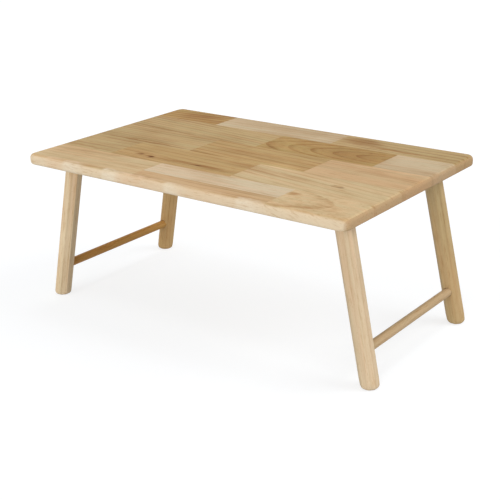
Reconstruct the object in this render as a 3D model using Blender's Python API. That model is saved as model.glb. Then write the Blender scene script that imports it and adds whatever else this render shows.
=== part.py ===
"""Folding laptop table: a rubberwood top on two end frames that fold flat under it.

Metres, +Z up. X runs along the table and -Y is its front. The origin is on the floor, under the
middle of the top. Each end frame is two splayed legs and a stretcher, and it turns on two pivot
bolts in steel brackets under the top.
"""

import math

import bmesh
import bpy
from mathutils import Vector

# Fits
SEAT_GAP = 0.0003  # between two pieces that touch or fit into each other
FOLD_CLEARANCE = 0.0005  # between a turning leg and the underside that it passes

# Tabletop
TABLE_HEIGHT = 0.262
TOP_LENGTH = 0.600
TOP_DEPTH = 0.380
TOP_THICKNESS = 0.017
TOP_CORNER_RADIUS = 0.013  # seen from above
TOP_EDGE_RADIUS = 0.0065
UNDER_EDGE_RADIUS = 0.005

# Legs
LEG_WIDTH = 0.027  # across opposite flats of its eight
LEG_ARRIS_RADIUS = 0.0015
LEG_FOOT_RADIUS = 0.006
LEG_FOOT_BLEND = 0.008  # foot's round up to where the arrises are full
LEG_SPLAY_DEGREES = 11.9  # outwards along the table
LEG_LEAN_DEGREES = 1.4  # outwards across the table
LEG_END_INSET = 0.0438  # end of the top to the leg's axis, at the underside
LEG_SIDE_INSET = 0.0628  # front or back edge of the top to the leg's axis, at the underside

# Stretchers
STRETCHER_DIAMETER = 0.014
STRETCHER_HEIGHT = 0.054  # floor to the stretcher's axis
STRETCHER_SOCKET_DEPTH = 0.012

# Hinge brackets
PLATE_THICKNESS = 0.002
BEND_RADIUS = 0.002  # inside the bend
BRACKET_WIDTH = 0.040  # along the table
FLANGE_DEPTH = 0.036  # from the ear's leg side to the flange's far edge
FLANGE_CORNER_RADIUS = 0.004
EAR_RIM = 0.0035  # washer's edge to the ear's round end

# Pivot bolts, washers and inserts
BOLT_DIAMETER = 0.005
BOLT_HEAD_LIP = 0.00225  # shank to the head's edge
BOLT_HEAD_HEIGHT = 0.0024
BOLT_KEY_WIDTH = 0.003  # across flats of the six-sided socket
BOLT_KEY_DEPTH = 0.0015
BOLT_END_CLEARANCE = 0.002  # end of the bolt to the inner end of its insert
WASHER_RIM = 0.0022  # hole to the outer edge
LEG_WASHER_THICKNESS = 0.001
HEAD_WASHER_THICKNESS = 0.001
INSERT_WALL = 0.0012
INSERT_LENGTH = 0.013

# Bracket screws
SCREW_DIAMETER = 0.0035
SCREW_HEAD_LIP = 0.00175  # shank to the head's edge, and the depth of the cone under it
SCREW_TIP_DIAMETER = 0.0007
SCREW_TIP_LENGTH = 0.003
SCREW_COVER = 0.0058  # wood left over a screw's tip
SCREW_EDGE_DISTANCE = 0.0075  # screw axis to the edges of the flange's flat
SCREW_CROSS_LENGTH = 0.0036
SCREW_CROSS_WIDTH = 0.0009
SCREW_CROSS_DEPTH = 0.001

# Facets
CORNER_STEPS = 8
EDGE_STEPS = 6
ARRIS_STEPS = 2
FOOT_STEPS = 5
ARC_STEPS = 10
BEND_STEPS = 4
DOWEL_SIDES = 32
BOLT_SIDES = 18
SCREW_SIDES = 12
SMOOTH_ANGLE_DEGREES = 32

# Places worked out from the sizes
LEG_SPLAY = math.radians(LEG_SPLAY_DEGREES)
LEG_LEAN = math.tan(math.radians(LEG_LEAN_DEGREES))
LEG_FLAT = LEG_WIDTH / 2
UNDERSIDE = TABLE_HEIGHT - TOP_THICKNESS
LEG_TOP_RADIUS = LEG_FLAT + FOLD_CLEARANCE
PIVOT_DROP = LEG_TOP_RADIUS + SEAT_GAP
PIVOT_HEIGHT = UNDERSIDE - PIVOT_DROP
PIVOT_X = TOP_LENGTH / 2 - LEG_END_INSET + PIVOT_DROP * math.tan(LEG_SPLAY)
LEG_Y = TOP_DEPTH / 2 - LEG_SIDE_INSET + PIVOT_DROP * LEG_LEAN
STRETCHER_DROP = (PIVOT_HEIGHT - STRETCHER_HEIGHT) / math.cos(LEG_SPLAY)
STRETCHER_LEAN = STRETCHER_DROP * LEG_LEAN
STRETCHER_REACH = LEG_Y + STRETCHER_LEAN - LEG_FLAT + STRETCHER_SOCKET_DEPTH - SEAT_GAP

# Places along a pivot, from the leg's axis towards the other leg of its pair
LEG_WASHER_FACE = LEG_FLAT + SEAT_GAP
EAR_FACE = LEG_WASHER_FACE + LEG_WASHER_THICKNESS + SEAT_GAP
HEAD_WASHER_FACE = EAR_FACE + PLATE_THICKNESS + SEAT_GAP
BOLT_HEAD_FACE = HEAD_WASHER_FACE + HEAD_WASHER_THICKNESS + SEAT_GAP
INSERT_END = LEG_FLAT - INSERT_LENGTH
BOLT_END = INSERT_END + BOLT_END_CLEARANCE
BOLT_HOLE_RADIUS = BOLT_DIAMETER / 2 + SEAT_GAP
WASHER_RADIUS = BOLT_HOLE_RADIUS + WASHER_RIM
INSERT_RADIUS = BOLT_HOLE_RADIUS + INSERT_WALL
EAR_RADIUS = WASHER_RADIUS + EAR_RIM

# Places on a bracket's flange, below the underside and from the leg's axis
FLANGE_TOP = -SEAT_GAP
FLANGE_UNDER = FLANGE_TOP - PLATE_THICKNESS
FLANGE_END = EAR_FACE + FLANGE_DEPTH
EAR_TOP = FLANGE_UNDER - BEND_RADIUS
SCREW_LENGTH = TOP_THICKNESS - SCREW_COVER - FLANGE_UNDER
SCREW_ROWS = (
    EAR_FACE + PLATE_THICKNESS + BEND_RADIUS + SCREW_EDGE_DISTANCE,
    FLANGE_END - SCREW_EDGE_DISTANCE,
)
SCREW_COLUMNS = (
    SCREW_EDGE_DISTANCE - BRACKET_WIDTH / 2,
    BRACKET_WIDTH / 2 - SCREW_EDGE_DISTANCE,
)

ENDS = {"right": 1, "left": -1}
SIDES = {"front": -1, "back": 1}


# Meshes

def remove_everything():
    for old in list(bpy.data.objects):
        bpy.data.objects.remove(old)


def lofted(rings, ring_to_ring=False):
    """A closed mesh over rings of matching points, capped at its ends or joined end to end."""
    shape = bmesh.new()
    loops = [[shape.verts.new(point) for point in ring] for ring in rings]
    pairs = list(zip(loops, loops[1:]))
    if ring_to_ring:
        pairs.append((loops[-1], loops[0]))
    else:
        shape.faces.new(loops[0])
        shape.faces.new(loops[-1])
    for low, high in pairs:
        for here in range(len(low)):
            there = (here + 1) % len(low)
            shape.faces.new((low[here], low[there], high[there], high[here]))
    bmesh.ops.recalc_face_normals(shape, faces=shape.faces)
    mesh = bpy.data.meshes.new("shape")
    shape.to_mesh(mesh)
    shape.free()
    return mesh


def prism(outline, axis, low, high):
    """An outline carried straight along an axis. Its points are (y, z), (x, z) or (x, y)."""
    place = {
        "X": lambda point, along: (along, point[0], point[1]),
        "Y": lambda point, along: (point[0], along, point[1]),
        "Z": lambda point, along: (point[0], point[1], along),
    }[axis]
    return lofted([[place(point, along) for point in outline] for along in (low, high)])


def turned(profile, sides, ring_to_ring=False):
    """A profile of (radius, height) points turned about Z."""
    turns = [math.tau * side / sides for side in range(sides)]
    rings = [
        [(radius * math.cos(turn), radius * math.sin(turn), height) for turn in turns]
        for radius, height in profile
    ]
    return lofted(rings, ring_to_ring)


def rod_along_y(radius, low, high, sides, z=0.0):
    """A round bar along Y, for holes and sockets."""
    return prism(regular_polygon(radius, sides, z), "Y", low, high)


def carved(mesh, cutters, operation="DIFFERENCE"):
    """The mesh with each cutter taken out of it, or with only the share inside the cutters."""
    body = bpy.data.objects.new("body", mesh)
    tools = [bpy.data.objects.new("cutter", cutter) for cutter in cutters]
    for item in (body, *tools):
        bpy.context.collection.objects.link(item)
    for tool in tools:
        tool.hide_render = True
        tool.display_type = "WIRE"
        cut = body.modifiers.new("cut", "BOOLEAN")
        cut.operation = operation
        cut.solver = "EXACT"
        cut.object = tool
    bpy.context.view_layer.update()
    graph = bpy.context.evaluated_depsgraph_get()
    result = bpy.data.meshes.new_from_object(body.evaluated_get(graph))
    for item in (body, *tools):
        bpy.data.objects.remove(item)
    return result


# Outlines

def arc(centre, radius, start, end, steps):
    """Points on an arc, both ends included, with angles in radians."""
    angles = [start + (end - start) * step / steps for step in range(steps + 1)]
    return [
        (centre[0] + radius * math.cos(angle), centre[1] + radius * math.sin(angle))
        for angle in angles
    ]


def regular_polygon(radius, sides, height=0.0):
    """Points round a circle, anticlockwise, with its centre at (0, height)."""
    return arc((0, height), radius, 0, math.tau, sides)[:-1]


def rounded_rectangle(length, depth, radius, steps):
    """A rectangle about the origin, anticlockwise, with round corners."""
    x = length / 2 - radius
    y = depth / 2 - radius
    quarter = math.pi / 2
    corners = ((x, y), (-x, y), (-x, -y), (x, -y))
    return [
        point
        for turn, corner in enumerate(corners)
        for point in arc(corner, radius, turn * quarter, (turn + 1) * quarter, steps)
    ]


def arris_turns():
    """The direction that each point of a leg's section faces, with an arc of points at each arris."""
    eighth = math.pi / 4
    return [eighth * (arris + step / ARRIS_STEPS) for arris in range(8) for step in range(ARRIS_STEPS + 1)]


def softened_octagon(inset):
    """The leg's section, drawn in from its faces by an inset, with each arris rounded."""
    eighth = math.pi / 4
    corner = (LEG_FLAT - inset - LEG_ARRIS_RADIUS) / math.cos(eighth / 2)
    points = []
    for arris in range(8):
        start = arris * eighth
        towards = start + eighth / 2
        centre = (corner * math.cos(towards), corner * math.sin(towards))
        points += arc(centre, LEG_ARRIS_RADIUS, start, start + eighth, ARRIS_STEPS)
    return points


def leg_top_outline():
    """What is cut off above a leg's top: round on the inner side, level on the outer side.

    The round part turns about the pivot as the leg folds. The level part meets the underside.
    """
    reach = 2 * LEG_WIDTH
    level = math.pi / 2 - LEG_SPLAY
    top = arc((0, 0), LEG_TOP_RADIUS, math.pi, level, ARC_STEPS)
    outer_end = (reach, (LEG_TOP_RADIUS - reach * math.sin(LEG_SPLAY)) / math.cos(LEG_SPLAY))
    return [(-reach, 0), *top, outer_end, (reach, reach), (-reach, reach)]


def bent_plate_outline():
    """The bracket seen along the table: flange, bend and ear, as (y, z) points."""
    outer = BEND_RADIUS + PLATE_THICKNESS
    bend = (EAR_FACE + outer, FLANGE_TOP - outer)
    ear_back = EAR_FACE + PLATE_THICKNESS
    ear_end = -PIVOT_DROP - EAR_RADIUS
    half_turn = math.pi
    outside = arc(bend, outer, half_turn, half_turn / 2, BEND_STEPS)
    inside = arc(bend, BEND_RADIUS, half_turn / 2, half_turn, BEND_STEPS)
    return [
        (EAR_FACE, ear_end),
        *outside,
        (FLANGE_END, FLANGE_TOP),
        (FLANGE_END, FLANGE_UNDER),
        *inside,
        (ear_back, ear_end),
    ]


def ear_outline():
    """The bracket seen along the pivot: full width at the bend, drawn in to a round end."""
    half = BRACKET_WIDTH / 2
    rise = EAR_TOP + PIVOT_DROP
    tangent = math.atan2(rise, half) - math.acos(EAR_RADIUS / math.hypot(half, rise))
    round_end = arc((0, -PIVOT_DROP), EAR_RADIUS, tangent, -math.pi - tangent, ARC_STEPS)
    above = PLATE_THICKNESS
    return [(-half, above), (half, above), (half, EAR_TOP), *round_end, (-half, EAR_TOP)]


def flange_outline():
    """The bracket seen from above: square at the ear, round at the two far corners."""
    half = BRACKET_WIDTH / 2
    x = half - FLANGE_CORNER_RADIUS
    y = FLANGE_END - FLANGE_CORNER_RADIUS
    near = EAR_FACE - PLATE_THICKNESS
    quarter = math.pi / 2
    right = arc((x, y), FLANGE_CORNER_RADIUS, 0, quarter, BEND_STEPS)
    left = arc((-x, y), FLANGE_CORNER_RADIUS, quarter, 2 * quarter, BEND_STEPS)
    return [(-half, near), (half, near), *right, *left]


def cross_outline():
    """The cross recess in a screw's head."""
    long = SCREW_CROSS_LENGTH / 2
    slim = SCREW_CROSS_WIDTH / 2
    return [
        (long, -slim), (long, slim), (slim, slim), (slim, long), (-slim, long), (-slim, slim),
        (-long, slim), (-long, -slim), (-slim, -slim), (-slim, -long), (slim, -long), (slim, -slim),
    ]


def screw_profile(gap=0.0):
    """A countersunk screw from its head's face, at height 0, to its tip, enlarged by a gap."""
    shank = SCREW_DIAMETER / 2 + gap
    return [
        (shank + SCREW_HEAD_LIP, 0),
        (shank, SCREW_HEAD_LIP),
        (shank, SCREW_LENGTH - SCREW_TIP_LENGTH),
        (SCREW_TIP_DIAMETER / 2 + gap, SCREW_LENGTH + gap),
    ]


# Pieces

def tabletop_mesh():
    """The glued panel, with its round edges and the screws' pilot holes in its underside."""
    quarter = math.pi / 2
    under = arc((0, 0), UNDER_EDGE_RADIUS, 0, quarter, EDGE_STEPS)
    upper = arc((0, 0), TOP_EDGE_RADIUS, quarter, 0, EDGE_STEPS)
    steps = [(UNDER_EDGE_RADIUS - out, UNDERSIDE + UNDER_EDGE_RADIUS - rise) for rise, out in under]
    steps += [(TOP_EDGE_RADIUS - out, TABLE_HEIGHT - TOP_EDGE_RADIUS + rise) for rise, out in upper]
    rings = []
    for inset, height in steps:
        outline = rounded_rectangle(
            TOP_LENGTH - 2 * inset, TOP_DEPTH - 2 * inset, TOP_CORNER_RADIUS - inset, CORNER_STEPS
        )
        rings.append([(x, y, height) for x, y in outline])
    return carved(lofted(rings), [pilot_mesh(place) for place in screw_places()])


def screw_places():
    """Where each screw's head sits: the four brackets' columns and rows, in world places."""
    return [
        (end * PIVOT_X + column, side * (LEG_Y - row), UNDERSIDE + FLANGE_UNDER)
        for end in ENDS.values()
        for side in SIDES.values()
        for column in SCREW_COLUMNS
        for row in SCREW_ROWS
    ]


def pilot_mesh(place):
    """The room that one screw takes, at its place, open below its head."""
    profile = screw_profile(SEAT_GAP)
    below = (profile[0][0], -SEAT_GAP)
    mesh = turned([below, *profile], SCREW_SIDES)
    for vertex in mesh.vertices:
        vertex.co.x += place[0]
        vertex.co.y += place[1]
        vertex.co.z += place[2]
    return mesh


def leg_rings():
    """Rings up a straight leg about its pivot: a level foot, its round edge, and the leg over it."""
    slope = math.tan(LEG_SPLAY)
    upright = math.cos(LEG_SPLAY)
    down = Vector((-math.sin(LEG_SPLAY), 0, -upright))
    round_height = (LEG_FOOT_RADIUS - PIVOT_HEIGHT) / upright
    centres = [Vector((x, y, round_height - x * slope)) for x, y in softened_octagon(LEG_FOOT_RADIUS)]
    faces = [Vector((math.cos(turn), math.sin(turn), 0)) for turn in arris_turns()]
    rings = [
        [
            centre + LEG_FOOT_RADIUS * down.slerp(face, step / FOOT_STEPS)
            for centre, face in zip(centres, faces)
        ]
        for step in range(FOOT_STEPS + 1)
    ]
    section = softened_octagon(0)
    rings.append([Vector((x, y, low.z + LEG_FOOT_BLEND)) for (x, y), low in zip(section, centres)])
    rings.append([Vector((x, y, LEG_WIDTH)) for x, y in section])
    return rings


def leg_mesh(inner):
    """One leg about its pivot, +Z up along it and +X outwards. Inner is its socket side, in Y."""
    leaning = [[(x, y + inner * LEG_LEAN * z, z) for x, y, z in ring] for ring in leg_rings()]
    outside = inner * LEG_WIDTH
    insert_room = inner * (INSERT_END - SEAT_GAP)
    socket_end = inner * (LEG_FLAT - STRETCHER_SOCKET_DEPTH - STRETCHER_LEAN)
    socket_radius = STRETCHER_DIAMETER / 2 + SEAT_GAP
    cutters = [
        prism(leg_top_outline(), "Y", -LEG_WIDTH, LEG_WIDTH),
        rod_along_y(INSERT_RADIUS + SEAT_GAP, insert_room, outside, BOLT_SIDES),
        rod_along_y(socket_radius, socket_end, outside, DOWEL_SIDES, z=-STRETCHER_DROP),
    ]
    return carved(lofted(leaning), cutters)


def stretcher_mesh():
    radius = STRETCHER_DIAMETER / 2
    return turned([(radius, -STRETCHER_REACH), (radius, STRETCHER_REACH)], DOWEL_SIDES)


def bracket_mesh():
    """One bracket below the underside, +Y away from its leg, with the leg's axis at Y 0."""
    half = BRACKET_WIDTH / 2
    plate = prism(bent_plate_outline(), "X", -half, half)
    outside = BRACKET_WIDTH
    outlines = [
        prism(ear_outline(), "Y", -outside, FLANGE_END + outside),
        prism(flange_outline(), "Z", -outside, outside),
    ]
    shaped = carved(plate, outlines, "INTERSECT")
    holes = [pilot_mesh((column, row, FLANGE_UNDER)) for column in SCREW_COLUMNS for row in SCREW_ROWS]
    holes.append(rod_along_y(BOLT_HOLE_RADIUS, 0, FLANGE_END, BOLT_SIDES, z=-PIVOT_DROP))
    return carved(shaped, holes)


def bolt_mesh():
    """A round-headed bolt along Z, from its leg's axis, with a six-sided socket in its head."""
    shank = BOLT_DIAMETER / 2
    head = shank + BOLT_HEAD_LIP
    crown = BOLT_HEAD_FACE + BOLT_HEAD_HEIGHT
    dome_end = math.pi / 3
    dome_height = BOLT_HEAD_HEIGHT / math.sin(dome_end)
    angles = [dome_end * step / BEND_STEPS for step in range(BEND_STEPS + 1)]
    dome = [(head * math.cos(angle), BOLT_HEAD_FACE + dome_height * math.sin(angle)) for angle in angles]
    body = turned([(shank, BOLT_END), (shank, BOLT_HEAD_FACE), *dome], BOLT_SIDES)
    key_radius = BOLT_KEY_WIDTH / 2 / math.cos(math.pi / 6)
    key = prism(regular_polygon(key_radius, 6), "Z", crown - BOLT_KEY_DEPTH, crown + BOLT_KEY_DEPTH)
    return carved(body, [key])


def ring_mesh(outer_radius, low, high):
    """A washer or a sleeve round a pivot bolt."""
    outer = [(outer_radius, low), (outer_radius, high)]
    bore = [(BOLT_HOLE_RADIUS, high), (BOLT_HOLE_RADIUS, low)]
    return turned([*outer, *bore], BOLT_SIDES, ring_to_ring=True)


def washer_mesh(face, thickness):
    return ring_mesh(WASHER_RADIUS, face, face + thickness)


def screw_mesh():
    recess = prism(cross_outline(), "Z", -SCREW_CROSS_DEPTH, SCREW_CROSS_DEPTH)
    return carved(turned(screw_profile(), SCREW_SIDES), [recess])


# Materials

def finish(name, colour, roughness, metallic=0.0):
    material = bpy.data.materials.new(name)
    material.use_nodes = True
    shader = material.node_tree.nodes["Principled BSDF"]
    shader.inputs["Base Color"].default_value = (*colour, 1.0)
    shader.inputs["Roughness"].default_value = roughness
    shader.inputs["Metallic"].default_value = metallic
    material.diffuse_color = (*colour, 1.0)
    return material


def finishes():
    return {
        "top_wood": finish("top_wood", (0.58, 0.41, 0.24), 0.45),
        "leg_wood": finish("leg_wood", (0.55, 0.38, 0.21), 0.5),
        "dowel_wood": finish("dowel_wood", (0.50, 0.33, 0.17), 0.5),
        "zinc_steel": finish("zinc_steel", (0.62, 0.63, 0.65), 0.38, 1.0),
        "bolt_steel": finish("bolt_steel", (0.50, 0.51, 0.53), 0.3, 1.0),
        "nylon": finish("nylon", (0.80, 0.79, 0.74), 0.55),
        "brass": finish("brass", (0.70, 0.52, 0.22), 0.35, 1.0),
    }


# Assembly

def add(name, mesh, material, location=(0, 0, 0), rotation=(0, 0, 0), parent=None):
    """One named piece of the table."""
    mesh.name = name
    mesh.materials.clear()
    mesh.materials.append(material)
    mesh.shade_smooth()
    mesh.set_sharp_from_angle(angle=math.radians(SMOOTH_ANGLE_DEGREES))
    piece = bpy.data.objects.new(name, mesh)
    piece.location = location
    piece.rotation_euler = rotation
    piece.parent = parent
    bpy.context.collection.objects.link(piece)
    return piece


def add_frame_pivot(name, end):
    """An empty on an end frame's joint axis, tilted with the legs and turned to its end."""
    pivot = bpy.data.objects.new(name, None)
    pivot.location = (end * PIVOT_X, 0, PIVOT_HEIGHT)
    pivot.rotation_euler = (0, -LEG_SPLAY, 0 if end > 0 else math.pi)
    bpy.context.collection.objects.link(pivot)
    return pivot


def add_end_frame(end_name, end, material):
    """Two legs and their stretcher, with the bolts, washers and inserts that turn with them."""
    pivot = add_frame_pivot(f"{end_name}_frame_pivot", end)
    along_y = (-math.pi / 2, 0, 0)
    stretcher_place = (0, 0, -STRETCHER_DROP)
    add(f"{end_name}_stretcher", stretcher_mesh(), material["dowel_wood"], stretcher_place, along_y, pivot)
    for side_name, side in SIDES.items():
        corner = f"{side_name}_{end_name}"
        inner = -side * end
        place = (0, -inner * LEG_Y, 0)
        inwards = (-inner * math.pi / 2, 0, 0)
        leg_washer = washer_mesh(LEG_WASHER_FACE, LEG_WASHER_THICKNESS)
        head_washer = washer_mesh(HEAD_WASHER_FACE, HEAD_WASHER_THICKNESS)
        insert = ring_mesh(INSERT_RADIUS, INSERT_END, LEG_FLAT)
        add(f"{corner}_leg", leg_mesh(inner), material["leg_wood"], place, parent=pivot)
        add(f"{corner}_leg_insert", insert, material["brass"], place, inwards, pivot)
        add(f"{corner}_leg_washer", leg_washer, material["nylon"], place, inwards, pivot)
        add(f"{corner}_head_washer", head_washer, material["zinc_steel"], place, inwards, pivot)
        add(f"{corner}_pivot_bolt", bolt_mesh(), material["bolt_steel"], place, inwards, pivot)


def add_brackets(end_name, end, material):
    """The two brackets of one end, each screwed to the underside by four screws."""
    for side_name, side in SIDES.items():
        corner = f"{side_name}_{end_name}"
        place = (end * PIVOT_X, side * LEG_Y, UNDERSIDE)
        turn = (0, 0, 0 if side < 0 else math.pi)
        bracket = add(f"{corner}_hinge_bracket", bracket_mesh(), material["zinc_steel"], place, turn)
        spots = [(column, row, FLANGE_UNDER) for column in SCREW_COLUMNS for row in SCREW_ROWS]
        for number, spot in enumerate(spots, start=1):
            name = f"{corner}_bracket_screw_{number}"
            add(name, screw_mesh(), material["bolt_steel"], spot, parent=bracket)


def main():
    remove_everything()
    material = finishes()
    add("tabletop", tabletop_mesh(), material["top_wood"])
    for end_name, end in ENDS.items():
        add_end_frame(end_name, end, material)
        add_brackets(end_name, end, material)
    bpy.context.view_layer.update()


main()
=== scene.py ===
"""Looks of the folding laptop table: rubberwood staves, legs and dowels, and plated steel hinges.

Metres, +Z up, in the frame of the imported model. X runs along the table and -Y is its front.
"""

import math
from typing import NamedTuple

import bmesh
import bpy
from mathutils import Matrix, Vector


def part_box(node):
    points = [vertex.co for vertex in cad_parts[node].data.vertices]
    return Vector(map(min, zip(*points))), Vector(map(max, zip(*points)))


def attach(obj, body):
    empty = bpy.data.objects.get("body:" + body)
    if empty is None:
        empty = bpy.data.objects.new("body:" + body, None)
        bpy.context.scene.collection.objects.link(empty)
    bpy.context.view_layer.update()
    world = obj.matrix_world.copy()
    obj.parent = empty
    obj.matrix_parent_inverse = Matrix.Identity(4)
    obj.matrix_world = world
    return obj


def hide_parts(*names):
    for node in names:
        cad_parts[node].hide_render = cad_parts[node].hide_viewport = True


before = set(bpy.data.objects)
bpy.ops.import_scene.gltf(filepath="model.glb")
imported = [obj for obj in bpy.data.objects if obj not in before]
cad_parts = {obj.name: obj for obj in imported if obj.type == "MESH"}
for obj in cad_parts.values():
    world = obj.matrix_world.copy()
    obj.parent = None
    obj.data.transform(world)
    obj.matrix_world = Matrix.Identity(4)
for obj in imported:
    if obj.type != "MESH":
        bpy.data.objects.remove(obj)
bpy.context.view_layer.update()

QUARTER_TURN = math.pi / 2

# Camera, for a square picture
CAMERA_AIM = (0.010, 0.040, 0.090)
CAMERA_DISTANCE = 1.75
CAMERA_AZIMUTH = math.radians(36.24)  # to the right of the table's front
CAMERA_ELEVATION = math.radians(20.70)
CAMERA_ROLL = math.radians(-0.97)
CAMERA_LENS_MM = 76.1
CAMERA_SENSOR_MM = 36.0
CAMERA_SHIFT = -0.04


class Lamp(NamedTuple):
    """A soft light: where it comes from, how wide it looks from the table, and how bright it is.

    Angles are degrees, with the azimuth to the right of the table's front. A level of 1 shows a surface
    that faces the light in the colour as written.
    """
    name: str
    azimuth: float
    elevation: float
    width: float
    level: float


LAMPS = (
    Lamp("key_light", 8, 12, 40, 0.52),
    Lamp("side_light", 120, 36, 40, 0.42),
    Lamp("top_front_light", 0, 72, 14, 0.085),
    Lamp("top_back_light", 180, 82, 14, 0.085),
)
SKY_COLOUR = (1.0, 1.0, 1.0, 1.0)
SKY_LEVEL = 0.46  # of the light that it gives
SKY_SEEN = 1.0

# Floor
FLOOR_SIZE = 24.0
FLOOR_COLOUR = (0.625, 0.655, 0.69, 1.0)
FLOOR_GLOW = 1.44  # only where the floor is looked at or mirrored
FLOOR_GLOW_SHARE = 0.52

# Tabletop, as its solid has it
TOP_CORNER_RADIUS = 0.013
TOP_EDGE_RADIUS = 0.0065
UNDER_EDGE_RADIUS = 0.005
CORNER_STEPS = 14
EDGE_STEPS = 10

# Legs, as their solids have them
LEG_SPLAY = math.radians(11.9)
LEG_LEAN = math.radians(1.4)


def srgb(red, green, blue):
    """A colour as a screen shows it, from 0 to 255, in the linear numbers that shaders take."""
    def linear(value):
        share = value / 255
        return share / 12.92 if share <= 0.04045 else ((share + 0.055) / 1.055) ** 2.4
    return (linear(red), linear(green), linear(blue), 1.0)


# Staves of the top

class Stave(NamedTuple):
    """One glued stave: where it lies, its colour, and how it was sawn from its tree.

    The heart is the axis of the tree's rings, at the stave's middle: how far it lies from the stave's
    own middle across the table, and how deep under the top's face. Drift and climb are the heart's
    slopes across the table and upwards, along the table. The ring is one year's growth, and the figure
    is how strongly the rings show.
    """
    left: float
    right: float
    front: float
    back: float
    tone: tuple
    heart_aside: float
    heart_depth: float
    drift: float
    climb: float
    ring: float
    figure: float


# Colours that rubberwood's staves come in
HONEY = srgb(175, 145, 90)
AMBER = srgb(180, 150, 100)
TAN = srgb(180, 155, 110)
PEACH = srgb(195, 165, 125)
STRAW = srgb(200, 175, 135)
LIGHT_STRAW = srgb(205, 180, 140)
PALE = srgb(194, 174, 142)
CREAM = srgb(205, 185, 155)

STAVES = (
    # Back row
    Stave(-0.300, -0.163, 0.122, 0.190, HONEY, 0.20, 0.06, 0.10, 0.0, 0.012, 0.85),
    Stave(-0.163, 0.074, 0.122, 0.190, PALE, 0.30, 0.10, 0.02, 0.0, 0.011, 0.22),
    Stave(0.074, 0.300, 0.122, 0.190, TAN, 0.16, 0.05, -0.02, 0.0, 0.013, 0.50),
    # Second row
    Stave(-0.300, -0.018, 0.044, 0.122, TAN, 0.25, 0.08, -0.10, 0.0, 0.010, 0.50),
    Stave(-0.018, 0.200, 0.044, 0.122, HONEY, -0.002, 0.034, 0.06, 0.24, 0.010, 0.50),
    Stave(0.200, 0.300, 0.044, 0.122, PALE, 0.30, 0.10, 0.03, 0.0, 0.009, 0.15),
    # Middle row
    Stave(-0.300, -0.092, -0.035, 0.044, TAN, 0.24, 0.08, 0.01, 0.0, 0.009, 0.34),
    Stave(-0.092, 0.128, -0.035, 0.044, AMBER, 0.28, 0.09, -0.05, 0.0, 0.014, 0.40),
    Stave(0.128, 0.300, -0.035, 0.044, PEACH, 0.26, 0.06, -0.02, 0.0, 0.008, 0.14),
    # Fourth row
    Stave(-0.300, -0.190, -0.113, -0.035, TAN, 0.22, 0.08, 0.02, 0.0, 0.013, 0.25),
    Stave(-0.190, 0.050, -0.113, -0.035, AMBER, 0.26, 0.08, -0.03, 0.0, 0.013, 0.30),
    Stave(0.050, 0.300, -0.113, -0.035, STRAW, 0.18, 0.05, -0.13, 0.0, 0.013, 0.26),
    # Front row, with one stave of it split lengthways
    Stave(-0.300, -0.080, -0.190, -0.113, STRAW, 0.22, 0.08, 0.05, 0.0, 0.014, 0.10),
    Stave(-0.080, 0.168, -0.190, -0.157, PEACH, 0.20, 0.06, 0.01, 0.0, 0.012, 0.25),
    Stave(-0.080, 0.168, -0.157, -0.113, CREAM, 0.33, 0.09, 0.01, 0.0, 0.010, 0.14),
    Stave(0.168, 0.300, -0.190, -0.113, LIGHT_STRAW, 0.002, 0.042, 0.0, -0.30, 0.024, 0.34),
)
FRONT_LINE = min(stave.front for stave in STAVES)
GLUE_LINES = sorted({stave.front for stave in STAVES} - {FRONT_LINE})
LINE_SLACK = 0.00001
CUT_SLACK = 0.0000001


# Marks in the top's wood

class Mark(NamedTuple):
    """A soft-edged mark in the top's wood: its middle, its half sizes, and how strongly it shows.

    The core is the share of it, from the middle, that shows in full.
    """
    x: float
    y: float
    half_length: float
    half_width: float
    strength: float
    core: float = 0.25


DARK_STREAKS = (
    Mark(-0.195, -0.029, 0.120, 0.0045, 0.75, 0.4),
    Mark(-0.065, -0.093, 0.110, 0.007, 0.60, 0.4),
    Mark(0.018, -0.096, 0.038, 0.009, 0.50, 0.3),
    Mark(-0.240, -0.103, 0.075, 0.005, 0.45),
    Mark(0.150, 0.080, 0.085, 0.055, 0.50),
    Mark(0.005, 0.065, 0.022, 0.035, 0.25),
    Mark(0.176, -0.129, 0.013, 0.010, 0.75, 0.3),
    Mark(-0.235, 0.156, 0.048, 0.026, 0.55),
    Mark(-0.200, 0.162, 0.034, 0.018, 0.45),
    Mark(0.112, 0.160, 0.052, 0.024, 0.70, 0.3),
    Mark(0.180, 0.139, 0.120, 0.004, 0.75, 0.4),
    Mark(-0.190, 0.049, 0.110, 0.006, 0.35),
    Mark(0.020, 0.008, 0.110, 0.014, 0.25),
    Mark(0.226, -0.080, 0.010, 0.006, 0.35),
    # Round the knots
    Mark(-0.147, -0.091, 0.013, 0.006, 0.60),
    Mark(-0.122, -0.094, 0.016, 0.007, 0.80),
    Mark(-0.028, -0.093, 0.020, 0.006, 0.70),
    Mark(0.210, -0.069, 0.016, 0.007, 0.50),
    # On the right end, beside three glue lines and in the back row
    Mark(0.300, -0.116, 0.007, 0.005, 0.50),
    Mark(0.300, -0.038, 0.007, 0.006, 0.50),
    Mark(0.300, 0.048, 0.007, 0.004, 0.40),
    Mark(0.300, 0.152, 0.012, 0.005, 0.40),
)
PALE_STREAKS_AND_PATCH = (
    Mark(0.215, 0.039, 0.110, 0.005, 1.00),
    Mark(0.040, -0.027, 0.110, 0.016, 1.00, 0.5),
    Mark(0.090, -0.026, 0.050, 0.014, 0.80, 0.5),
    Mark(-0.240, -0.109, 0.090, 0.004, 0.60),
    Mark(0.045, -0.154, 0.140, 0.004, 0.60),
    # A paler patch over the top's front-left corner
    Mark(-0.292, -0.150, 0.030, 0.045, 0.60),
)
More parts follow.
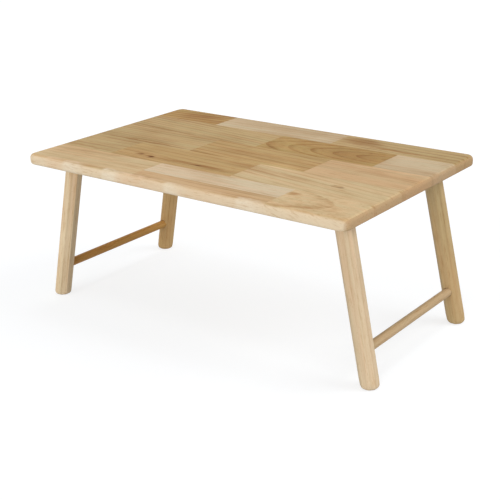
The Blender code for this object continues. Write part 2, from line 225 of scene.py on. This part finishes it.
KNOTS = (
    Mark(-0.145, -0.091, 0.005, 0.0034, 0.65, 0.3),
    Mark(-0.121, -0.095, 0.0075, 0.0052, 1.00, 0.5),
    Mark(-0.026, -0.094, 0.008, 0.0040, 0.85, 0.4),
    Mark(0.203, -0.067, 0.004, 0.0030, 0.25),
    Mark(0.217, -0.071, 0.006, 0.0036, 0.40),
)
PALE_STREAK = (1.10, 1.12, 1.16, 1.0)  # what a pale streak does to the colour round it
KNOT_COLOUR = srgb(96, 50, 2)


# Front edge and ends of the top

class Block(NamedTuple):
    """A short piece in the top's front edge: its two ends, and how far in it shows and how strongly.

    Its left end is a plain joint. To the right it fades into its neighbour.
    """
    left: float
    right: float
    reach: float
    strength: float


PEACH_BLOCKS = (
    Block(-0.262, -0.205, 0.014, 0.60),
    Block(-0.112, 0.010, 0.016, 0.80),
    Block(0.000, 0.130, 0.014, 0.40),
)
PALE_BLOCKS = (
    Block(-0.224, -0.165, 0.014, 0.60),
    Block(-0.140, -0.085, 0.016, 0.65),
    Block(-0.016, 0.035, 0.012, 0.50),
    Block(0.116, 0.180, 0.013, 0.60),
)
PEACH_EDGE = srgb(220, 190, 155)
PALE_EDGE = srgb(230, 215, 190)
BLOCK_JOINT = 0.010
BLOCK_FULL_LENGTH = 0.4  # share of its length, from the joint, at which a block starts to fade
BLOCK_FULL_REACH = 0.25  # share of its reach that shows in full
# Faces that look to the front are paler: painted light from the front lamps
PAINTED_FRONT_LIGHT = srgb(228, 208, 178)
PAINTED_FRONT_LIGHT_SHARE = 0.8
PAINTED_FRONT_LIGHT_FACING = (0.35, 0.9)  # cosines from the front, at which the painted front light starts and is full
END_COLOUR = srgb(202, 170, 132)
END_SHARE = 0.55

# Legs and dowels
TURNED_TONES_AND_SHADE = {
    "front_left_leg": srgb(224, 203, 170),
    "back_left_leg": srgb(194, 162, 115),
    "front_right_leg": srgb(212, 191, 160),
    "back_right_leg": srgb(193, 168, 126),
    # The left dowel's tone is partly painted shade: deeper than the right dowel's, because the tabletop
    # shades it
    "left_stretcher": srgb(190, 145, 85),
    "right_stretcher": srgb(188, 165, 130),
}
TURNED_RING = 0.007
TURNED_FIGURE = 0.14
TURNED_BANDS = 0.55
HEART_BESIDE = Vector((0.05, 0.06, 0.0))  # of the first one, from its middle
HEART_STEP = Vector((0.011, -0.013, 0.0))  # from one to the next


# Values of all the wood

class Pattern(NamedTuple):
    """Soft noise: its waves per metre along each axis, and how its values are spread.

    Noise from start to end runs smoothly from low to high.
    """
    per_metre: tuple
    start: float
    end: float
    low: float = 0.0
    high: float = 1.0
    detail: float = 2.0


DEEP_WOOD = (0.66, 0.465, 0.27, 1.0)  # what a dark line, streak or pore does to the colour round it
PALE_WOOD = (1.07, 1.08, 1.10, 1.0)  # what the palest wood does to it
PINK_CAST = (1.04, 0.985, 0.95, 1.0)
OLIVE_CAST = (0.97, 0.995, 0.97, 1.0)
WOOD_DEPTHS = (-0.25, 0.95)  # sum of rings and bands at which the wood is palest and deepest
STAVE_BANDS = 1.0
LATE_WOOD = (0.55, 0.94)  # share of a year at which its dark line starts, and is darkest
YEAR_END = (1.0, 0.95)
RING_WANDER = Pattern((5, 18, 18), 0.2, 0.8, -0.0009, 0.0009)
BROAD_BANDS = Pattern((3.5, 34, 34), 0.25, 0.75, -0.18, 0.18)
CLOUDS = Pattern((9, 14, 14), 0.3, 0.7, -0.16, 0.16)
FINE_STREAKS = Pattern((9, 230, 230), 0.25, 0.75, -0.18, 0.18, 3.0)
CASTS = Pattern((5, 90, 90), 0.3, 0.7)
FLECKS = Pattern((35, 420, 420), 0.52, 0.78, 0.0, 0.5, 3.0)
PORES = Pattern((190, 2300, 2300), 0.63, 0.72, detail=1.0)
FIBRES = Pattern((25, 900, 900), 0.2, 0.8, 0.42, 0.56, 3.0)  # spread over the lacquer's roughness
MARK_RIPPLE = Pattern((30, 160, 0), 0.2, 0.8, -0.003, 0.003)
EDGE_MOTTLE = Pattern((70, 160, 260), 0.3, 0.7, 0.5, 1.2, 3.0)
PORE_SHARE = 0.45
FIBRE_HEIGHT = 0.35  # beside a pore's depth of 1
WOOD_RELIEF = 0.00012
WOOD_RELIEF_SHARE = 0.6
LACQUER_LEVEL = 0.05
END_GRAIN = (0.86, 0.82, 0.79, 1.0)  # what a cut across the fibres does to the colour
END_GRAIN_BANDS = 0.3
END_GRAIN_RINGS = 0.25
END_GRAIN_ROUGHNESS = 0.12
END_GRAIN_FACING = (0.55, 0.70)  # cosines from the fibres, at which end grain starts and is full

# Values of metal and nylon
ZINC = srgb(205, 206, 208)
ZINC_ROUGHNESS = 0.36
BOLT_ZINC = srgb(186, 187, 190)
BOLT_ROUGHNESS = 0.28
SPANGLE = Pattern((140, 140, 140), 0.25, 0.75, detail=3.0)
ROLLING_LINES = Pattern((60, 2600, 2600), 0.25, 0.75)
SPANGLE_SHADE = 0.72
PLATE_POLISH = 0.08  # below the plate's own roughness, where it is smoothest
PLATE_DULLING = 0.12  # above it, where it is roughest
PLATE_RELIEF = 0.00005
BRASS = srgb(214, 180, 104)
TARNISH = srgb(158, 120, 62)
LATHE_RINGS = Pattern((90, 3200, 90), 0.25, 0.75, 0.24, 0.42)  # spread over the brass's roughness
STAINS = Pattern((170, 170, 170), 0.35, 0.8, detail=3.0)
BRASS_RELIEF = 0.00004
METAL_RELIEF_SHARE = 0.5
NYLON = srgb(222, 217, 202)
PALE_NYLON = srgb(236, 233, 222)
NYLON_MOTTLE = Pattern((420, 420, 420), 0.3, 0.7, detail=3.0)
NYLON_SHEEN = NYLON_MOTTLE._replace(start=0.25, end=0.75, low=0.42, high=0.58)
NYLON_GLOW = 0.15
NYLON_RELIEF = 0.00004
NYLON_RELIEF_SHARE = 0.4


# Node trees

class Recipe:
    """The node tree of a material or of the world, built by one short call per node."""

    def __init__(self, owner):
        owner.use_nodes = True
        self.tree = owner.node_tree

    def put(self, socket, value):
        """Links a socket to another one, or writes a plain value on it."""
        if isinstance(value, bpy.types.NodeSocket):
            self.tree.links.new(value, socket)
        else:
            socket.default_value = value

    def add(self, kind, inputs=None, **settings):
        """A new node with its settings, and with its inputs by name or number."""
        node = self.tree.nodes.new(kind)
        for name, value in settings.items():
            setattr(node, name, value)
        for socket, value in (inputs or {}).items():
            self.put(node.inputs[socket], value)
        return node

    def math(self, operation, first, second=0.0):
        """One step of arithmetic."""
        return self.add("ShaderNodeMath", {0: first, 1: second}, operation=operation).outputs[0]

    def vector(self, operation, first, second=(0, 0, 0)):
        """One step of vector arithmetic, which gives a vector, or a number for a length or a product."""
        node = self.add("ShaderNodeVectorMath", {0: first, 1: second}, operation=operation)
        return node.outputs["Value" if operation in ("LENGTH", "DOT_PRODUCT") else "Vector"]

    def parts(self, vector):
        """A vector's X, Y and Z."""
        return self.add("ShaderNodeSeparateXYZ", {0: vector}).outputs

    def attribute(self, name, output="Vector"):
        """A value that a mesh's faces carry."""
        return self.add("ShaderNodeAttribute", attribute_name=name).outputs[output]

    def noise(self, place, pattern):
        """A pattern's soft noise, from 0 to 1."""
        spot = self.vector("MULTIPLY", place, pattern.per_metre)
        inputs = {"Vector": spot, "Scale": 1.0, "Detail": pattern.detail}
        return self.add("ShaderNodeTexNoise", inputs).outputs["Fac"]

    def ramp(self, value, start, end, low=0.0, high=1.0):
        """Runs smoothly from low, where the value is start, to high, where it is end."""
        inputs = {"Value": value, "From Min": start, "From Max": end, "To Min": low, "To Max": high}
        return self.add("ShaderNodeMapRange", inputs, interpolation_type="SMOOTHSTEP").outputs["Result"]

    def spread(self, noise, pattern):
        """A pattern's noise, spread from its low to its high."""
        return self.ramp(noise, pattern.start, pattern.end, pattern.low, pattern.high)

    def pattern(self, place, pattern):
        """A pattern's values at a place."""
        return self.spread(self.noise(place, pattern), pattern)

    def mix(self, share, first, second, blend="MIX"):
        """A share of the second colour laid over the first one."""
        node = self.add("ShaderNodeMix", data_type="RGBA", blend_type=blend)
        factor, colour_a, colour_b = node.inputs[0], node.inputs[6], node.inputs[7]
        self.put(factor, share)
        self.put(colour_a, first)
        self.put(colour_b, second)
        return node.outputs[2]

    def bump(self, height, distance, strength):
        """A normal tilted by a fine relief, whose height of 1 stands for a distance in metres."""
        inputs = {"Height": height, "Distance": distance, "Strength": strength}
        return self.add("ShaderNodeBump", inputs).outputs["Normal"]

    def seen(self):
        """1 for what is looked at or mirrored, 0 for what only lights the table."""
        path = self.add("ShaderNodeLightPath").outputs
        mirrored = self.math("MAXIMUM", path["Is Glossy Ray"], path["Is Transmission Ray"])
        return self.math("MAXIMUM", path["Is Camera Ray"], mirrored)


class Finish(Recipe):
    """A material with one shader, and the places and directions that its patterns start from."""

    def __init__(self, name):
        self.material = bpy.data.materials.new(name)
        super().__init__(self.material)
        self.shader = self.tree.nodes["Principled BSDF"]
        spot = self.add("ShaderNodeTexCoord").outputs
        self.place = spot["Object"]
        self.normal = spot["Normal"]

    def finish(self, **inputs):
        """Sets the shader's sockets, named with an underscore for each space."""
        for name, value in inputs.items():
            self.put(self.shader.inputs[name.replace("_", " ")], value)
        return self.material


# Wood materials

def ring_line(recipe, place, ring):
    """Growth rings about the place's X axis: 1 on the dark line that ends a year, 0 early in it."""
    across = recipe.vector("MULTIPLY", place, (0, 1, 1))
    distance = recipe.math("ADD", recipe.vector("LENGTH", across), recipe.pattern(place, RING_WANDER))
    season = recipe.math("FRACT", recipe.math("DIVIDE", distance, ring))
    return recipe.math("MULTIPLY", recipe.ramp(season, *LATE_WOOD), recipe.ramp(season, *YEAR_END))


def wood_colour(recipe, place, tone, ring, figure, bands, end_grain):
    """The tone with its rings, broad bands, clouds and streaks, which are fainter on end grain."""
    line = recipe.math("MULTIPLY", ring_line(recipe, place, ring), figure)
    line = recipe.math("MULTIPLY", line, recipe.ramp(end_grain, 0.0, 1.0, 1.0, END_GRAIN_RINGS))
    banding = recipe.pattern(place, BROAD_BANDS)
    for pattern in (CLOUDS, FINE_STREAKS):
        banding = recipe.math("ADD", banding, recipe.pattern(place, pattern))
    banding = recipe.math("MULTIPLY", banding, bands)
    banding = recipe.math("MULTIPLY", banding, recipe.ramp(end_grain, 0.0, 1.0, 1.0, END_GRAIN_BANDS))
    cast = recipe.mix(recipe.pattern(place, CASTS), PINK_CAST, OLIVE_CAST)
    tinted = recipe.mix(1.0, tone, cast, "MULTIPLY")
    pale = recipe.mix(1.0, tinted, PALE_WOOD, "MULTIPLY")
    deep = recipe.mix(1.0, tinted, DEEP_WOOD, "MULTIPLY")
    depth = recipe.ramp(recipe.math("ADD", line, banding), *WOOD_DEPTHS)
    return recipe.mix(depth, pale, deep)


def end_grain_share(recipe, axis):
    """1 where the wood is cut across its fibres, 0 along them."""
    facing = recipe.math("ABSOLUTE", recipe.vector("DOT_PRODUCT", recipe.normal, axis))
    return recipe.ramp(facing, *END_GRAIN_FACING)


def finish_wood(recipe, place, end_grain, colour):
    """Flecks, open pores, end grain and a nearly matt lacquer over a wood's colour."""
    colour = recipe.mix(recipe.pattern(place, FLECKS), colour, DEEP_WOOD, "MULTIPLY")
    pore = recipe.pattern(place, PORES)
    colour = recipe.mix(recipe.math("MULTIPLY", pore, PORE_SHARE), colour, DEEP_WOOD, "MULTIPLY")
    colour = recipe.mix(end_grain, colour, END_GRAIN, "MULTIPLY")
    fibre = recipe.noise(place, FIBRES)
    height = recipe.math("SUBTRACT", recipe.math("MULTIPLY", fibre, FIBRE_HEIGHT), pore)
    rough_ends = recipe.math("MULTIPLY", end_grain, END_GRAIN_ROUGHNESS)
    return recipe.finish(
        Base_Color=colour,
        Roughness=recipe.math("ADD", recipe.spread(fibre, FIBRES), rough_ends),
        Specular_IOR_Level=LACQUER_LEVEL,
        Normal=recipe.bump(height, WOOD_RELIEF, WOOD_RELIEF_SHARE),
    )


def mark_share(recipe, place, mark):
    """How much of a mark shows at a place: its strength in its middle, 0 outside it."""
    aside = recipe.vector("SUBTRACT", place, (mark.x, mark.y, 0))
    reach = recipe.vector("MULTIPLY", aside, (1 / mark.half_length, 1 / mark.half_width, 0))
    return recipe.ramp(recipe.vector("LENGTH", reach), 1.0, mark.core, 0.0, mark.strength)


def block_share(recipe, along, inwards, block):
    """How much of an edge block shows: its strength beside its joint and on the edge, 0 outside it."""
    fading = block.left + BLOCK_FULL_LENGTH * (block.right - block.left)
    joint = recipe.ramp(along, block.left, block.left + BLOCK_JOINT)
    fade = recipe.ramp(along, block.right, fading)
    depth = recipe.ramp(inwards, block.reach, BLOCK_FULL_REACH * block.reach, 0.0, block.strength)
    return recipe.math("MULTIPLY", recipe.math("MULTIPLY", joint, fade), depth)


def stave_place(recipe, seed):
    """Places as a stave's own tree has them, with its heart along the X axis."""
    away = recipe.vector("SUBTRACT", recipe.place, recipe.attribute("stave_heart"))
    drift = recipe.vector("SCALE", recipe.attribute("stave_slope"))
    recipe.put(drift.node.inputs["Scale"], recipe.parts(away)["X"])
    straight = recipe.vector("SUBTRACT", away, drift)
    apart = recipe.add("ShaderNodeCombineXYZ", {"X": seed}).outputs[0]
    return recipe.vector("ADD", straight, apart)


def add_streaks(recipe, colour, place):
    """Dark and pale streaks in the top's wood."""
    for streaks, look in ((DARK_STREAKS, DEEP_WOOD), (PALE_STREAKS_AND_PATCH, PALE_STREAK)):
        for streak in streaks:
            colour = recipe.mix(mark_share(recipe, place, streak), colour, look, "MULTIPLY")
    return colour


def add_edges_and_painted_light(recipe, colour, end_grain, ripple):
    """The colour of the top's ends, painted light on its faces that look to the front, and the short
    blocks in its front edge.
    """
    colour = recipe.mix(recipe.math("MULTIPLY", end_grain, END_SHARE), colour, END_COLOUR)
    # Painted light: faces that look to the front turn paler
    front_light_facing = recipe.vector("DOT_PRODUCT", recipe.normal, (0, -1, 0))
    colour = recipe.mix(recipe.ramp(front_light_facing, *PAINTED_FRONT_LIGHT_FACING, 0.0, PAINTED_FRONT_LIGHT_SHARE), colour, PAINTED_FRONT_LIGHT)
    along, across, _ = recipe.parts(recipe.place)
    inwards = recipe.math("SUBTRACT", recipe.math("ADD", across, ripple), FRONT_LINE)
    mottle = recipe.pattern(recipe.place, EDGE_MOTTLE)
    for blocks, look in ((PEACH_BLOCKS, PEACH_EDGE), (PALE_BLOCKS, PALE_EDGE)):
        for block in blocks:
            share = recipe.math("MULTIPLY", block_share(recipe, along, inwards, block), mottle)
            colour = recipe.mix(share, colour, look)
    return colour


def stave_wood():
    """The top's wood. Each stave's faces carry its own colour and its own tree's heart."""
    recipe = Finish("stave_wood")
    ring, figure, seed = recipe.parts(recipe.attribute("stave_saw"))
    tone = recipe.attribute("stave_tone", "Color")
    place = stave_place(recipe, seed)
    end_grain = end_grain_share(recipe, (1, 0, 0))
    colour = wood_colour(recipe, place, tone, ring, figure, STAVE_BANDS, end_grain)
    ripple = recipe.pattern(recipe.place, MARK_RIPPLE)
    sway = recipe.add("ShaderNodeCombineXYZ", {"X": ripple, "Y": ripple}).outputs[0]
    swayed = recipe.vector("ADD", recipe.place, sway)
    colour = add_streaks(recipe, colour, swayed)
    colour = add_edges_and_painted_light(recipe, colour, end_grain, ripple)
    for knot in KNOTS:
        colour = recipe.mix(mark_share(recipe, swayed, knot), colour, KNOT_COLOUR)
    return finish_wood(recipe, place, end_grain, colour)


def turned_wood(name, tone, heart, axis):
    """A leg's or a dowel's wood, with its fibres along an axis and its tree's heart beside it."""
    recipe = Finish(f"{name}_wood")
    turn = axis.to_track_quat("X", "Z").to_matrix().inverted()
    inputs = {"Vector": recipe.place, "Location": -(turn @ heart), "Rotation": turn.to_euler()}
    place = recipe.add("ShaderNodeMapping", inputs).outputs["Vector"]
    end_grain = end_grain_share(recipe, axis)
    colour = wood_colour(recipe, place, tone, TURNED_RING, TURNED_FIGURE, TURNED_BANDS, end_grain)
    return finish_wood(recipe, place, end_grain, colour)


# Metal and nylon materials

def plated_steel(name, colour, roughness):
    """Zinc-plated steel: cloudy spangle and fine rolling lines."""
    recipe = Finish(name)
    spangle = recipe.noise(recipe.place, SPANGLE)
    rolling = recipe.noise(recipe.place, ROLLING_LINES)
    surface = recipe.math("MULTIPLY", recipe.math("ADD", spangle, rolling), 0.5)
    darker = (*(SPANGLE_SHADE * part for part in colour[:3]), 1.0)
    polish = ROLLING_LINES._replace(low=roughness - PLATE_POLISH, high=roughness + PLATE_DULLING)
    return recipe.finish(
        Base_Color=recipe.mix(recipe.spread(spangle, SPANGLE), darker, colour),
        Metallic=1.0,
        Roughness=recipe.spread(surface, polish),
        Normal=recipe.bump(surface, PLATE_RELIEF, METAL_RELIEF_SHARE),
    )


def turned_brass():
    """Brass with stains and the fine rings that a lathe leaves."""
    recipe = Finish("turned_brass")
    ring = recipe.noise(recipe.place, LATHE_RINGS)
    return recipe.finish(
        Base_Color=recipe.mix(recipe.pattern(recipe.place, STAINS), BRASS, TARNISH),
        Metallic=1.0,
        Roughness=recipe.spread(ring, LATHE_RINGS),
        Normal=recipe.bump(ring, BRASS_RELIEF, METAL_RELIEF_SHARE),
    )


def moulded_nylon():
    """Natural nylon, faintly mottled."""
    recipe = Finish("moulded_nylon")
    mottle = recipe.noise(recipe.place, NYLON_MOTTLE)
    return recipe.finish(
        Base_Color=recipe.mix(recipe.spread(mottle, NYLON_MOTTLE), NYLON, PALE_NYLON),
        Roughness=recipe.spread(mottle, NYLON_SHEEN),
        Subsurface_Weight=NYLON_GLOW,
        Normal=recipe.bump(mottle, NYLON_RELIEF, NYLON_RELIEF_SHARE),
    )


# Top

def arc(centre, radius, start, end, steps):
    """Points on an arc, both ends included, with angles in radians."""
    angles = [start + (end - start) * step / steps for step in range(steps + 1)]
    return [
        (centre[0] + radius * math.cos(angle), centre[1] + radius * math.sin(angle))
        for angle in angles
    ]


def top_ring(high, inset, height):
    """One outline of the top, with round corners, drawn in by an inset."""
    radius = TOP_CORNER_RADIUS - inset
    x = high.x - TOP_CORNER_RADIUS
    y = high.y - TOP_CORNER_RADIUS
    corners = ((x, y), (-x, y), (-x, -y), (x, -y))
    return [
        (*point, height)
        for turn, corner in enumerate(corners)
        for point in arc(corner, radius, turn * QUARTER_TURN, (turn + 1) * QUARTER_TURN, CORNER_STEPS)
    ]


def top_rings(low, high):
    """Outlines from the underside to the top's face, round over both edges."""
    under = arc((0, 0), UNDER_EDGE_RADIUS, 0, QUARTER_TURN, EDGE_STEPS)
    upper = arc((0, 0), TOP_EDGE_RADIUS, QUARTER_TURN, 0, EDGE_STEPS)
    steps = [(UNDER_EDGE_RADIUS - out, low.z + UNDER_EDGE_RADIUS - rise) for rise, out in under]
    steps += [(TOP_EDGE_RADIUS - out, high.z - TOP_EDGE_RADIUS + rise) for rise, out in upper]
    return [top_ring(high, inset, height) for inset, height in steps]


def loft(shape, rings):
    """Closes a shape over its rings, capped at both ends."""
    loops = [[shape.verts.new(point) for point in ring] for ring in rings]
    shape.faces.new(loops[0])
    shape.faces.new(loops[-1])
    for lower, upper in zip(loops, loops[1:]):
        for here in range(len(lower)):
            there = (here + 1) % len(lower)
            shape.faces.new((lower[here], lower[there], upper[there], upper[here]))
    bmesh.ops.recalc_face_normals(shape, faces=shape.faces)


def cut(shape, faces, point, across):
    """Cuts some faces of a shape along a plane."""
    edges = {edge for face in faces for edge in face.edges}
    corners = {corner for face in faces for corner in face.verts}
    geometry = [*faces, *edges, *corners]
    bmesh.ops.bisect_plane(shape, geom=geometry, plane_co=point, plane_no=across, dist=CUT_SLACK)


def cut_staves(shape):
    """Cuts the top along its glue lines, first between rows and then between the staves of a row."""
    for line in GLUE_LINES:
        cut(shape, list(shape.faces), (0, line, 0), (0, 1, 0))
    for stave in STAVES:
        row = [face for face in shape.faces if stave.front < face.calc_center_median().y < stave.back]
        cut(shape, row, (stave.right, 0, 0), (1, 0, 0))


def holds(stave, middle):
    """Whether a stave has the face with this middle. The panel's edge faces lie on its limits."""
    along = stave.left - LINE_SLACK < middle.x < stave.right + LINE_SLACK
    return along and stave.front - LINE_SLACK < middle.y < stave.back + LINE_SLACK


def stave_values(stave, seed, face_height):
    """What each face of a stave tells its material."""
    middle_x = (stave.left + stave.right) / 2
    middle_y = (stave.front + stave.back) / 2
    heart = (middle_x, middle_y + stave.heart_aside, face_height - stave.heart_depth)
    return {
        "stave_heart": heart,
        "stave_slope": (0, stave.drift, stave.climb),
        "stave_saw": (stave.ring, stave.figure, seed),
        "stave_tone": stave.tone,
    }


def paint_staves(mesh, face_height):
    """Writes each stave's colour and heart on its faces."""
    values = [stave_values(stave, seed, face_height) for seed, stave in enumerate(STAVES)]
    owners = [
        next(number for number, stave in enumerate(STAVES) if holds(stave, face.center))
        for face in mesh.polygons
    ]
    for name in values[0]:
        is_colour = name == "stave_tone"
        layer = mesh.attributes.new(name, "FLOAT_COLOR" if is_colour else "FLOAT_VECTOR", "FACE")
        for item, owner in zip(layer.data, owners):
            setattr(item, "color" if is_colour else "vector", values[owner][name])


def smooth_flats(piece):
    """Keeps the flats of a smooth piece flat in its shading."""
    weighted = piece.modifiers.new("flat_faces", "WEIGHTED_NORMAL")
    weighted.keep_sharp = True


def add_top():
    """The glued panel, in place of its solid, cut so that each stave has its own look."""
    low, high = (Vector(corner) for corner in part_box("tabletop"))
    shape = bmesh.new()
    loft(shape, top_rings(low, high))
    cut_staves(shape)
    mesh = bpy.data.meshes.new("stave_panel")
    shape.to_mesh(mesh)
    shape.free()
    mesh.shade_smooth()
    paint_staves(mesh, high.z)
    mesh.materials.append(stave_wood())
    panel = bpy.data.objects.new("stave_panel", mesh)
    bpy.context.collection.objects.link(panel)
    smooth_flats(panel)
    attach(panel, "table_top")
    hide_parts("tabletop")


# Other pieces

def leg_axis(name):
    """The direction from a leg's foot to its top."""
    end = 1 if "right" in name else -1
    side = 1 if "back" in name else -1
    return Vector((-end * math.tan(LEG_SPLAY), -side * math.tan(LEG_LEAN), 1)).normalized()


def dress(piece, material):
    """Gives a solid its material."""
    for slot in piece.material_slots:
        slot.material = material


def dress_turned_wood():
    """Each leg and dowel has wood of its own, sawn beside a different heart; the left dowel's tone is
    partly painted shade.
    """
    for number, (name, tone) in enumerate(TURNED_TONES_AND_SHADE.items()):
        low, high = (Vector(corner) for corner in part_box(name))
        axis = leg_axis(name) if name.endswith("_leg") else Vector((0, 1, 0))
        heart = (low + high) / 2 + HEART_BESIDE + number * HEART_STEP
        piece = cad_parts[name]
        dress(piece, turned_wood(name, tone, heart, axis))
        smooth_flats(piece)


def dress_hardware():
    """Brackets, screws, bolts, washers and inserts, known by a part of their names."""
    zinc = plated_steel("zinc_plate", ZINC, ZINC_ROUGHNESS)
    bolt = plated_steel("bolt_plate", BOLT_ZINC, BOLT_ROUGHNESS)
    looks = {
        "_hinge_bracket": zinc,
        "_head_washer": zinc,
        "_pivot_bolt": bolt,
        "_bracket_screw": bolt,
        "_leg_washer": moulded_nylon(),
        "_leg_insert": turned_brass(),
    }
    for name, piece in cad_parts.items():
        for part, material in looks.items():
            if part in name:
                dress(piece, material)


# Studio

def floor_white():
    """A pale matt floor that glows a little where it is seen, so that it shows as white."""
    material = bpy.data.materials.new("floor_white")
    recipe = Recipe(material)
    recipe.tree.nodes.clear()
    matt = recipe.add("ShaderNodeBsdfDiffuse", {"Color": FLOOR_COLOUR}).outputs[0]
    glow = recipe.add("ShaderNodeEmission", {"Strength": FLOOR_GLOW}).outputs[0]
    share = recipe.math("MULTIPLY", recipe.seen(), FLOOR_GLOW_SHARE)
    both = recipe.add("ShaderNodeMixShader", {"Fac": share, 1: matt, 2: glow}).outputs[0]
    recipe.add("ShaderNodeOutputMaterial", {"Surface": both})
    return material


def add_floor():
    """A wide floor that keeps the table's shadow."""
    half = FLOOR_SIZE / 2
    corners = [(-half, -half, 0), (half, -half, 0), (half, half, 0), (-half, half, 0)]
    mesh = bpy.data.meshes.new("floor")
    mesh.from_pydata(corners, [], [(0, 1, 2, 3)])
    mesh.materials.append(floor_white())
    floor = bpy.data.objects.new("floor", mesh)
    bpy.context.collection.objects.link(floor)


def set_world():
    """A white surround that lights the table softly."""
    world = bpy.data.worlds.new("studio")
    recipe = Recipe(world)
    # The mix's sockets 2 and 3 are its two plain numbers
    level = recipe.add("ShaderNodeMix", {0: recipe.seen(), 2: SKY_LEVEL, 3: SKY_SEEN}).outputs[0]
    sky = recipe.tree.nodes["Background"]
    recipe.put(sky.inputs["Color"], SKY_COLOUR)
    recipe.put(sky.inputs["Strength"], level)
    bpy.context.scene.world = world


def add_lamps():
    """The studio's lights, all far away."""
    for lamp in LAMPS:
        light = bpy.data.lights.new(lamp.name, "SUN")
        light.angle = math.radians(lamp.width)
        light.energy = lamp.level * math.pi
        item = bpy.data.objects.new(lamp.name, light)
        tilt = QUARTER_TURN - math.radians(lamp.elevation)
        item.rotation_euler = (tilt, 0, math.radians(lamp.azimuth))
        bpy.context.collection.objects.link(item)


def add_camera():
    """The camera, turned about the point that it is aimed at."""
    lens = bpy.data.cameras.new("camera")
    lens.lens = CAMERA_LENS_MM
    lens.sensor_width = CAMERA_SENSOR_MM
    lens.shift_x = CAMERA_SHIFT
    camera = bpy.data.objects.new("camera", lens)
    bpy.context.collection.objects.link(camera)
    turn = Matrix.Rotation(CAMERA_AZIMUTH, 4, "Z")
    tilt = Matrix.Rotation(QUARTER_TURN - CAMERA_ELEVATION, 4, "X")
    roll = Matrix.Rotation(CAMERA_ROLL, 4, "Z")
    back = Matrix.Translation((0, 0, CAMERA_DISTANCE))
    camera.matrix_world = Matrix.Translation(CAMERA_AIM) @ turn @ tilt @ back @ roll
    bpy.context.scene.camera = camera


add_camera()
add_floor()
set_world()
add_lamps()
add_top()
dress_turned_wood()
dress_hardware()
bpy.context.scene.view_settings.view_transform = "Standard"
